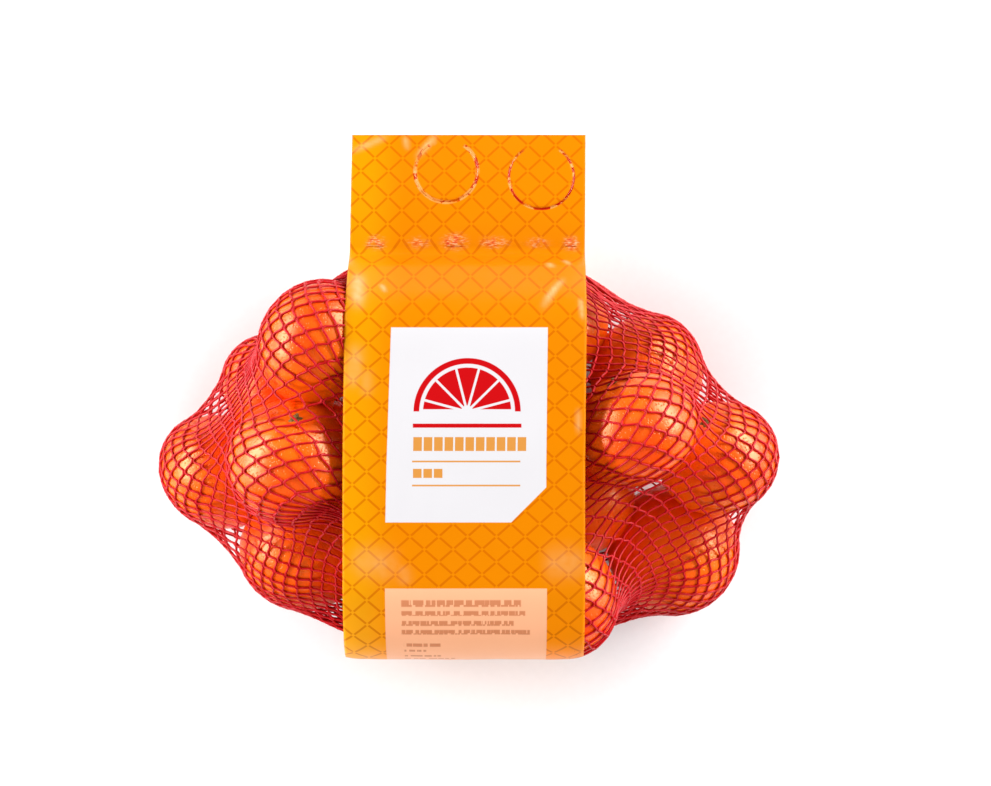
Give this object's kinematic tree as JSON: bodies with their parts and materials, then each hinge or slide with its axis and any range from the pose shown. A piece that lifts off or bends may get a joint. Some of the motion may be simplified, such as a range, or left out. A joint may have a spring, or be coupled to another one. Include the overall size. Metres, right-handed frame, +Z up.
{
  "type": "net of clementines",
  "caption": "Red knitted net filled with clementines, gathered under an orange printed film band that is welded at the top into a flat header with round carrying flaps; it lies on its back.",
  "frame": {"origin": "middle of the flat underside of the film band, which rests on the table", "axes": "+X across the film band along the net's long side, +Y along the band towards the header, +Z up out of the printed side"},
  "size_m": [0.2706, 0.2298, 0.1003],
  "materials": {
    "filled_net": "crimson knitted polyethylene threads over glossy orange peel",
    "film_band": "glossy printed film"
  },
  "bodies": {
    "root": {"filled_net": "filled_net", "film_band": "film_band"}
  },
  "joints": []
}
